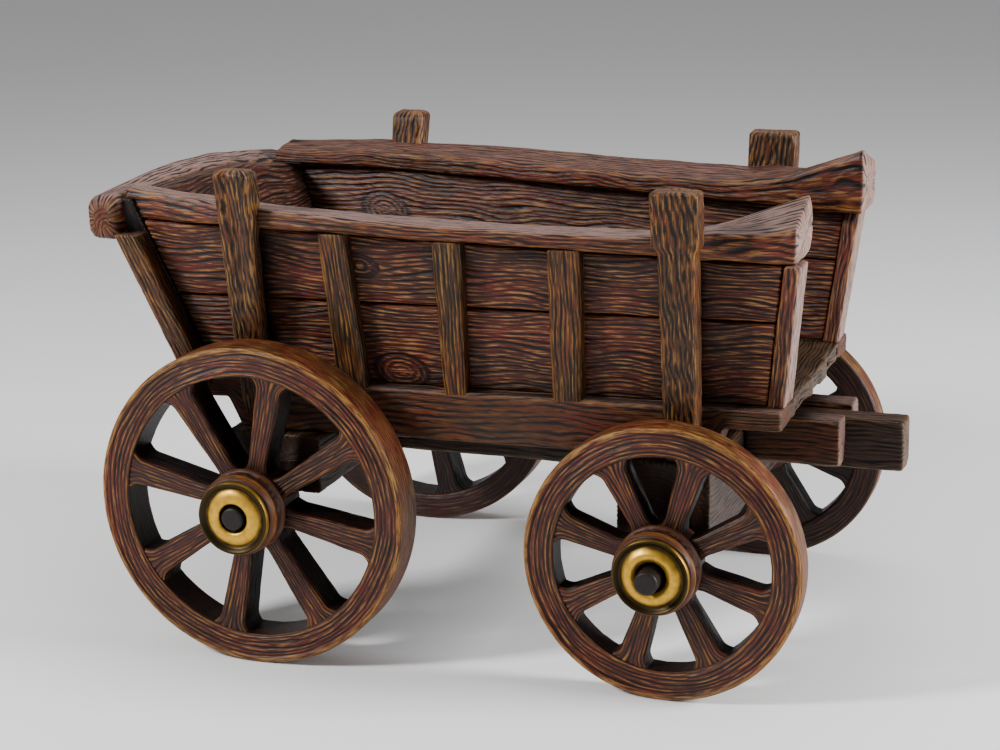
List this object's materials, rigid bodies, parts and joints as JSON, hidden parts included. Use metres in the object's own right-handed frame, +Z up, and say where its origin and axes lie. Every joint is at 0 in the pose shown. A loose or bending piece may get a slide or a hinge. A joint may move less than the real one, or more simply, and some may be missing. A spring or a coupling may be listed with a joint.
{
  "type": "garden wagon planter",
  "caption": "Timber-look farm wagon for the garden with an open front, flared board sides, corner stakes and spoked wheels that turn on their axles.",
  "frame": {"origin": "on the ground, midway between the two axles and midway between the sides", "axes": "+X towards the front (the open end and the pole), +Y to the wagon's left, +Z up"},
  "size_m": [0.588, 0.432, 0.365],
  "materials": {
    "rim_timber": "satin, stained dark with lighter worn edges",
    "spoke_timber": "satin, stained dark with lighter worn grain",
    "hub_timber": "satin dark stain",
    "hub_brass": "aged, satin",
    "axle_iron": "blackened",
    "board_timber": "satin red-brown stain over carved grain",
    "floor_timber": "satin dark stain, worn edges",
    "rail_timber": "satin walnut stain, worn ochre edges",
    "frame_timber": "satin dark walnut stain"
  },
  "bodies": {
    "root": {"rear_axle": "axle_iron", "front_axle": "axle_iron", "axle_caps": "axle_iron", "rear_axle_block": "frame_timber", "front_axle_block": "frame_timber", "rear_bolster": "frame_timber", "front_bolster": "frame_timber", "pole": "frame_timber", "rear_board_lower": "board_timber", "rear_board_upper": "board_timber", "rear_rail": "rail_timber", "floor_plank_front": "floor_timber", "chassis_rail_right": "frame_timber", "chassis_rail_left": "frame_timber", "hound_right": "frame_timber", "hound_left": "frame_timber", "sill_right": "frame_timber", "sill_left": "frame_timber", "board_lower_right": "board_timber", "board_lower_left": "board_timber", "board_upper_right": "board_timber", "board_upper_left": "board_timber", "front_post_right": "rail_timber", "front_post_left": "rail_timber", "top_rail_right": "rail_timber", "top_rail_left": "rail_timber", "rear_stake_right": "rail_timber", "rear_stake_left": "rail_timber", "front_stake_right": "rail_timber", "front_stake_left": "rail_timber", "rear_post_right": "rail_timber", "rear_post_left": "rail_timber", "batten_1_right": "rail_timber", "batten_1_left": "rail_timber", "batten_2_right": "rail_timber", "batten_2_left": "rail_timber", "batten_3_right": "rail_timber", "batten_3_left": "rail_timber", "floor_plank_1": "floor_timber", "floor_plank_2": "floor_timber", "floor_plank_3": "floor_timber", "floor_plank_4": "floor_timber", "floor_plank_5": "floor_timber"},
    "rear_right_wheel": {"rear_right_rim": "rim_timber", "rear_right_spokes": "spoke_timber", "rear_right_hub": "hub_timber", "rear_right_ring": "hub_brass"},
    "rear_left_wheel": {"rear_left_rim": "rim_timber", "rear_left_spokes": "spoke_timber", "rear_left_hub": "hub_timber", "rear_left_ring": "hub_brass"},
    "front_right_wheel": {"front_right_rim": "rim_timber", "front_right_spokes": "spoke_timber", "front_right_hub": "hub_timber", "front_right_ring": "hub_brass"},
    "front_left_wheel": {"front_left_rim": "rim_timber", "front_left_spokes": "spoke_timber", "front_left_hub": "hub_timber", "front_left_ring": "hub_brass"}
  },
  "joints": [
    {"name": "rear_right_wheel_spin", "type": "hinge", "parent": "root", "child": "rear_right_wheel", "pos_m": [-0.152, -0.173, 0.12], "axis": [0, 1, 0], "continuous": true},
    {"name": "rear_left_wheel_spin", "type": "hinge", "parent": "root", "child": "rear_left_wheel", "pos_m": [-0.152, 0.173, 0.12], "axis": [0, 1, 0], "continuous": true},
    {"name": "front_right_wheel_spin", "type": "hinge", "parent": "root", "child": "front_right_wheel", "pos_m": [0.152, -0.1585, 0.1], "axis": [0, 1, 0], "continuous": true},
    {"name": "front_left_wheel_spin", "type": "hinge", "parent": "root", "child": "front_left_wheel", "pos_m": [0.152, 0.1585, 0.1], "axis": [0, 1, 0], "continuous": true}
  ]
}
